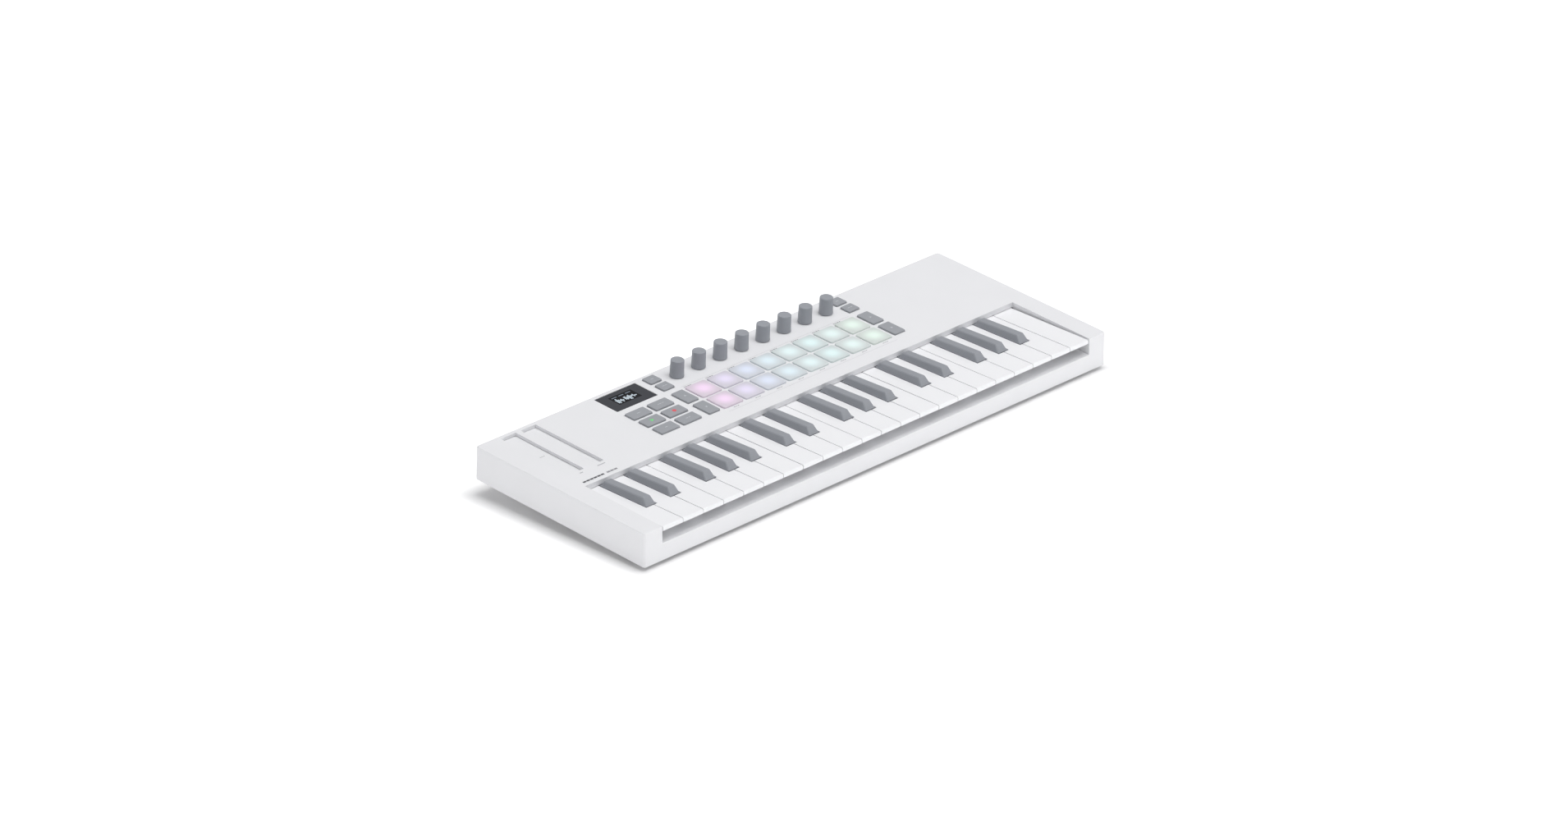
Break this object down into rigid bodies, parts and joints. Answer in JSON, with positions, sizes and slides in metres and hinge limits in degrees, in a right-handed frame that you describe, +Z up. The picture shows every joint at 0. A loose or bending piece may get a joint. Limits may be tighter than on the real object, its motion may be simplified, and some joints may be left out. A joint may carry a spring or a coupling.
{
  "type": "synthesizer keyboard",
  "caption": "Slim tabletop keyboard with narrow hinged keys, lit square pads, a row of turning knobs, buttons, touch strips and a small display.",
  "frame": {"origin": "centre of the footprint, on the surface that the keyboard stands on", "axes": "+X to the player's right along the keys, +Y from the player to the back, +Z up"},
  "size_m": [0.478, 0.1749, 0.0529],
  "materials": {
    "case_white": "white moulded plastic with a fine matt texture",
    "base_white": "white moulded plastic, matt",
    "key_white": "satin white key plastic",
    "key_grey": "satin mid-grey key plastic",
    "knob_grey": "soft matt grey",
    "button_grey": "matt grey silicone",
    "pad_silicone": "translucent white silicone, lit from below",
    "display_glass": "dark glossy window",
    "strip_white": "satin white touch surface",
    "board_green": "green solder mask",
    "chassis_grey": "dark grey moulded plastic",
    "foot_rubber": "matt black rubber"
  },
  "bodies": {
    "case": {"top_case": "case_white", "bottom_case": "base_white", "foot_front": "foot_rubber", "foot_rear": "foot_rubber", "key_chassis": "chassis_grey", "key_contact_board": "board_green", "control_board": "board_green", "socket_board": "board_green", "display_window": "display_glass", "pitch_strip": "strip_white", "modulation_strip": "strip_white"},
    "key_c3": {"key_c3": "key_white"},
    "key_cs3": {"key_cs3": "key_grey"},
    "key_d3": {"key_d3": "key_white"},
    "key_ds3": {"key_ds3": "key_grey"},
    "key_e3": {"key_e3": "key_white"},
    "key_f3": {"key_f3": "key_white"},
    "key_fs3": {"key_fs3": "key_grey"},
    "key_g3": {"key_g3": "key_white"},
    "key_gs3": {"key_gs3": "key_grey"},
    "key_a3": {"key_a3": "key_white"},
    "key_as3": {"key_as3": "key_grey"},
    "key_b3": {"key_b3": "key_white"},
    "key_c4": {"key_c4": "key_white"},
    "key_cs4": {"key_cs4": "key_grey"},
    "key_d4": {"key_d4": "key_white"},
    "key_ds4": {"key_ds4": "key_grey"},
    "key_e4": {"key_e4": "key_white"},
    "key_f4": {"key_f4": "key_white"},
    "key_fs4": {"key_fs4": "key_grey"},
    "key_g4": {"key_g4": "key_white"},
    "key_gs4": {"key_gs4": "key_grey"},
    "key_a4": {"key_a4": "key_white"},
    "key_as4": {"key_as4": "key_grey"},
    "key_b4": {"key_b4": "key_white"},
    "key_c5": {"key_c5": "key_white"},
    "key_cs5": {"key_cs5": "key_grey"},
    "key_d5": {"key_d5": "key_white"},
    "key_ds5": {"key_ds5": "key_grey"},
    "key_e5": {"key_e5": "key_white"},
    "key_f5": {"key_f5": "key_white"},
    "key_fs5": {"key_fs5": "key_grey"},
    "key_g5": {"key_g5": "key_white"},
    "key_gs5": {"key_gs5": "key_grey"},
    "key_a5": {"key_a5": "key_white"},
    "key_as5": {"key_as5": "key_grey"},
    "key_b5": {"key_b5": "key_white"},
    "key_c6": {"key_c6": "key_white"},
    "knob_1": {"knob_1": "knob_grey"},
    "knob_2": {"knob_2": "knob_grey"},
    "knob_3": {"knob_3": "knob_grey"},
    "knob_4": {"knob_4": "knob_grey"},
    "knob_5": {"knob_5": "knob_grey"},
    "knob_6": {"knob_6": "knob_grey"},
    "knob_7": {"knob_7": "knob_grey"},
    "knob_8": {"knob_8": "knob_grey"},
    "pad_mat": {"pad_mat": "pad_silicone"},
    "transport_keymat": {"transport_keymat": "button_grey"},
    "left_keymat": {"left_keymat": "button_grey"},
    "right_keymat": {"right_keymat": "button_grey"}
  },
  "joints": [
    {"name": "key_c3_press", "type": "hinge", "parent": "case", "child": "key_c3", "pos_m": [-0.21443, 0.00295, 0.02509], "axis": [1, 0, 0], "range_deg": [0, 2.2], "stiffness_Nm_per_rad": 0.4, "springref_deg": -5.73},
    {"name": "key_cs3_press", "type": "hinge", "parent": "case", "child": "key_cs3", "pos_m": [-0.2024, 0.00295, 0.02509], "axis": [1, 0, 0], "range_deg": [0, 2.2], "stiffness_Nm_per_rad": 0.4, "springref_deg": -5.73},
    {"name": "key_d3_press", "type": "hinge", "parent": "case", "child": "key_d3", "pos_m": [-0.19038, 0.00295, 0.02509], "axis": [1, 0, 0], "range_deg": [0, 2.2], "stiffness_Nm_per_rad": 0.4, "springref_deg": -5.73},
    {"name": "key_ds3_press", "type": "hinge", "parent": "case", "child": "key_ds3", "pos_m": [-0.17836, 0.00295, 0.02509], "axis": [1, 0, 0], "range_deg": [0, 2.2], "stiffness_Nm_per_rad": 0.4, "springref_deg": -5.73},
    {"name": "key_e3_press", "type": "hinge", "parent": "case", "child": "key_e3", "pos_m": [-0.16633, 0.00295, 0.02509], "axis": [1, 0, 0], "range_deg": [0, 2.2], "stiffness_Nm_per_rad": 0.4, "springref_deg": -5.73},
    {"name": "key_f3_press", "type": "hinge", "parent": "case", "child": "key_f3", "pos_m": [-0.15459, 0.00295, 0.02509], "axis": [1, 0, 0], "range_deg": [0, 2.2], "stiffness_Nm_per_rad": 0.4, "springref_deg": -5.73},
    {"name": "key_fs3_press", "type": "hinge", "parent": "case", "child": "key_fs3", "pos_m": [-0.14314, 0.00295, 0.02509], "axis": [1, 0, 0], "range_deg": [0, 2.2], "stiffness_Nm_per_rad": 0.4, "springref_deg": -5.73},
    {"name": "key_g3_press", "type": "hinge", "parent": "case", "child": "key_g3", "pos_m": [-0.13169, 0.00295, 0.02509], "axis": [1, 0, 0], "range_deg": [0, 2.2], "stiffness_Nm_per_rad": 0.4, "springref_deg": -5.73},
    {"name": "key_gs3_press", "type": "hinge", "parent": "case", "child": "key_gs3", "pos_m": [-0.12024, 0.00295, 0.02509], "axis": [1, 0, 0], "range_deg": [0, 2.2], "stiffness_Nm_per_rad": 0.4, "springref_deg": -5.73},
    {"name": "key_a3_press", "type": "hinge", "parent": "case", "child": "key_a3", "pos_m": [-0.10879, 0.00295, 0.02509], "axis": [1, 0, 0], "range_deg": [0, 2.2], "stiffness_Nm_per_rad": 0.4, "springref_deg": -5.73},
    {"name": "key_as3_press", "type": "hinge", "parent": "case", "child": "key_as3", "pos_m": [-0.09734, 0.00295, 0.02509], "axis": [1, 0, 0], "range_deg": [0, 2.2], "stiffness_Nm_per_rad": 0.4, "springref_deg": -5.73},
    {"name": "key_b3_press", "type": "hinge", "parent": "case", "child": "key_b3", "pos_m": [-0.08589, 0.00295, 0.02509], "axis": [1, 0, 0], "range_deg": [0, 2.2], "stiffness_Nm_per_rad": 0.4, "springref_deg": -5.73},
    {"name": "key_c4_press", "type": "hinge", "parent": "case", "child": "key_c4", "pos_m": [-0.07415, 0.00295, 0.02509], "axis": [1, 0, 0], "range_deg": [0, 2.2], "stiffness_Nm_per_rad": 0.4, "springref_deg": -5.73},
    {"name": "key_cs4_press", "type": "hinge", "parent": "case", "child": "key_cs4", "pos_m": [-0.06212, 0.00295, 0.02509], "axis": [1, 0, 0], "range_deg": [0, 2.2], "stiffness_Nm_per_rad": 0.4, "springref_deg": -5.73},
    {"name": "key_d4_press", "type": "hinge", "parent": "case", "child": "key_d4", "pos_m": [-0.0501, 0.00295, 0.02509], "axis": [1, 0, 0], "range_deg": [0, 2.2], "stiffness_Nm_per_rad": 0.4, "springref_deg": -5.73},
    {"name": "key_ds4_press", "type": "hinge", "parent": "case", "child": "key_ds4", "pos_m": [-0.03808, 0.00295, 0.02509], "axis": [1, 0, 0], "range_deg": [0, 2.2], "stiffness_Nm_per_rad": 0.4, "springref_deg": -5.73},
    {"name": "key_e4_press", "type": "hinge", "parent": "case", "child": "key_e4", "pos_m": [-0.02605, 0.00295, 0.02509], "axis": [1, 0, 0], "range_deg": [0, 2.2], "stiffness_Nm_per_rad": 0.4, "springref_deg": -5.73},
    {"name": "key_f4_press", "type": "hinge", "parent": "case", "child": "key_f4", "pos_m": [-0.01431, 0.00295, 0.02509], "axis": [1, 0, 0], "range_deg": [0, 2.2], "stiffness_Nm_per_rad": 0.4, "springref_deg": -5.73},
    {"name": "key_fs4_press", "type": "hinge", "parent": "case", "child": "key_fs4", "pos_m": [-0.00286, 0.00295, 0.02509], "axis": [1, 0, 0], "range_deg": [0, 2.2], "stiffness_Nm_per_rad": 0.4, "springref_deg": -5.73},
    {"name": "key_g4_press", "type": "hinge", "parent": "case", "child": "key_g4", "pos_m": [0.00859, 0.00295, 0.02509], "axis": [1, 0, 0], "range_deg": [0, 2.2], "stiffness_Nm_per_rad": 0.4, "springref_deg": -5.73},
    {"name": "key_gs4_press", "type": "hinge", "parent": "case", "child": "key_gs4", "pos_m": [0.02004, 0.00295, 0.02509], "axis": [1, 0, 0], "range_deg": [0, 2.2], "stiffness_Nm_per_rad": 0.4, "springref_deg": -5.73},
    {"name": "key_a4_press", "type": "hinge", "parent": "case", "child": "key_a4", "pos_m": [0.03149, 0.00295, 0.02509], "axis": [1, 0, 0], "range_deg": [0, 2.2], "stiffness_Nm_per_rad": 0.4, "springref_deg": -5.73},
    {"name": "key_as4_press", "type": "hinge", "parent": "case", "child": "key_as4", "pos_m": [0.04294, 0.00295, 0.02509], "axis": [1, 0, 0], "range_deg": [0, 2.2], "stiffness_Nm_per_rad": 0.4, "springref_deg": -5.73},
    {"name": "key_b4_press", "type": "hinge", "parent": "case", "child": "key_b4", "pos_m": [0.05439, 0.00295, 0.02509], "axis": [1, 0, 0], "range_deg": [0, 2.2], "stiffness_Nm_per_rad": 0.4, "springref_deg": -5.73},
    {"name": "key_c5_press", "type": "hinge", "parent": "case", "child": "key_c5", "pos_m": [0.06613, 0.00295, 0.02509], "axis": [1, 0, 0], "range_deg": [0, 2.2], "stiffness_Nm_per_rad": 0.4, "springref_deg": -5.73},
    {"name": "key_cs5_press", "type": "hinge", "parent": "case", "child": "key_cs5", "pos_m": [0.07816, 0.00295, 0.02509], "axis": [1, 0, 0], "range_deg": [0, 2.2], "stiffness_Nm_per_rad": 0.4, "springref_deg": -5.73},
    {"name": "key_d5_press", "type": "hinge", "parent": "case", "child": "key_d5", "pos_m": [0.09018, 0.00295, 0.02509], "axis": [1, 0, 0], "range_deg": [0, 2.2], "stiffness_Nm_per_rad": 0.4, "springref_deg": -5.73},
    {"name": "key_ds5_press", "type": "hinge", "parent": "case", "child": "key_ds5", "pos_m": [0.1022, 0.00295, 0.02509], "axis": [1, 0, 0], "range_deg": [0, 2.2], "stiffness_Nm_per_rad": 0.4, "springref_deg": -5.73},
    {"name": "key_e5_press", "type": "hinge", "parent": "case", "child": "key_e5", "pos_m": [0.11423, 0.00295, 0.02509], "axis": [1, 0, 0], "range_deg": [0, 2.2], "stiffness_Nm_per_rad": 0.4, "springref_deg": -5.73},
    {"name": "key_f5_press", "type": "hinge", "parent": "case", "child": "key_f5", "pos_m": [0.12597, 0.00295, 0.02509], "axis": [1, 0, 0], "range_deg": [0, 2.2], "stiffness_Nm_per_rad": 0.4, "springref_deg": -5.73},
    {"name": "key_fs5_press", "type": "hinge", "parent": "case", "child": "key_fs5", "pos_m": [0.13742, 0.00295, 0.02509], "axis": [1, 0, 0], "range_deg": [0, 2.2], "stiffness_Nm_per_rad": 0.4, "springref_deg": -5.73},
    {"name": "key_g5_press", "type": "hinge", "parent": "case", "child": "key_g5", "pos_m": [0.14887, 0.00295, 0.02509], "axis": [1, 0, 0], "range_deg": [0, 2.2], "stiffness_Nm_per_rad": 0.4, "springref_deg": -5.73},
    {"name": "key_gs5_press", "type": "hinge", "parent": "case", "child": "key_gs5", "pos_m": [0.16032, 0.00295, 0.02509], "axis": [1, 0, 0], "range_deg": [0, 2.2], "stiffness_Nm_per_rad": 0.4, "springref_deg": -5.73},
    {"name": "key_a5_press", "type": "hinge", "parent": "case", "child": "key_a5", "pos_m": [0.17177, 0.00295, 0.02509], "axis": [1, 0, 0], "range_deg": [0, 2.2], "stiffness_Nm_per_rad": 0.4, "springref_deg": -5.73},
    {"name": "key_as5_press", "type": "hinge", "parent": "case", "child": "key_as5", "pos_m": [0.18322, 0.00295, 0.02509], "axis": [1, 0, 0], "range_deg": [0, 2.2], "stiffness_Nm_per_rad": 0.4, "springref_deg": -5.73},
    {"name": "key_b5_press", "type": "hinge", "parent": "case", "child": "key_b5", "pos_m": [0.19467, 0.00295, 0.02509], "axis": [1, 0, 0], "range_deg": [0, 2.2], "stiffness_Nm_per_rad": 0.4, "springref_deg": -5.73},
    {"name": "key_c6_press", "type": "hinge", "parent": "case", "child": "key_c6", "pos_m": [0.20641, 0.00295, 0.02509], "axis": [1, 0, 0], "range_deg": [0, 2.2], "stiffness_Nm_per_rad": 0.4, "springref_deg": -5.73},
    {"name": "knob_1_turn", "type": "hinge", "parent": "case", "child": "knob_1", "pos_m": [-0.0538, 0.06947, 0.03891], "axis": [0, -0.057, 0.9984], "continuous": true},
    {"name": "knob_2_turn", "type": "hinge", "parent": "case", "child": "knob_2", "pos_m": [-0.03165, 0.06947, 0.03891], "axis": [0, -0.057, 0.9984], "continuous": true},
    {"name": "knob_3_turn", "type": "hinge", "parent": "case", "child": "knob_3", "pos_m": [-0.00949, 0.06947, 0.03891], "axis": [0, -0.057, 0.9984], "continuous": true},
    {"name": "knob_4_turn", "type": "hinge", "parent": "case", "child": "knob_4", "pos_m": [0.01266, 0.06947, 0.03891], "axis": [0, -0.057, 0.9984], "continuous": true},
    {"name": "knob_5_turn", "type": "hinge", "parent": "case", "child": "knob_5", "pos_m": [0.03482, 0.06947, 0.03891], "axis": [0, -0.057, 0.9984], "continuous": true},
    {"name": "knob_6_turn", "type": "hinge", "parent": "case", "child": "knob_6", "pos_m": [0.05697, 0.06947, 0.03891], "axis": [0, -0.057, 0.9984], "continuous": true},
    {"name": "knob_7_turn", "type": "hinge", "parent": "case", "child": "knob_7", "pos_m": [0.07912, 0.06947, 0.03891], "axis": [0, -0.057, 0.9984], "continuous": true},
    {"name": "knob_8_turn", "type": "hinge", "parent": "case", "child": "knob_8", "pos_m": [0.10128, 0.06947, 0.03891], "axis": [0, -0.057, 0.9984], "continuous": true},
    {"name": "pad_mat_press", "type": "slide", "parent": "case", "child": "pad_mat", "axis": [0, 0.057, -0.9984], "range_m": [0, 0.0008], "stiffness_N_per_m": 2000, "springref_m": -0.001},
    {"name": "transport_keymat_press", "type": "slide", "parent": "case", "child": "transport_keymat", "axis": [0, 0.057, -0.9984], "range_m": [0, 0.001], "stiffness_N_per_m": 600, "springref_m": -0.001},
    {"name": "left_keymat_press", "type": "slide", "parent": "case", "child": "left_keymat", "axis": [0, 0.057, -0.9984], "range_m": [0, 0.001], "stiffness_N_per_m": 600, "springref_m": -0.001},
    {"name": "right_keymat_press", "type": "slide", "parent": "case", "child": "right_keymat", "axis": [0, 0.057, -0.9984], "range_m": [0, 0.001], "stiffness_N_per_m": 600, "springref_m": -0.001}
  ]
}
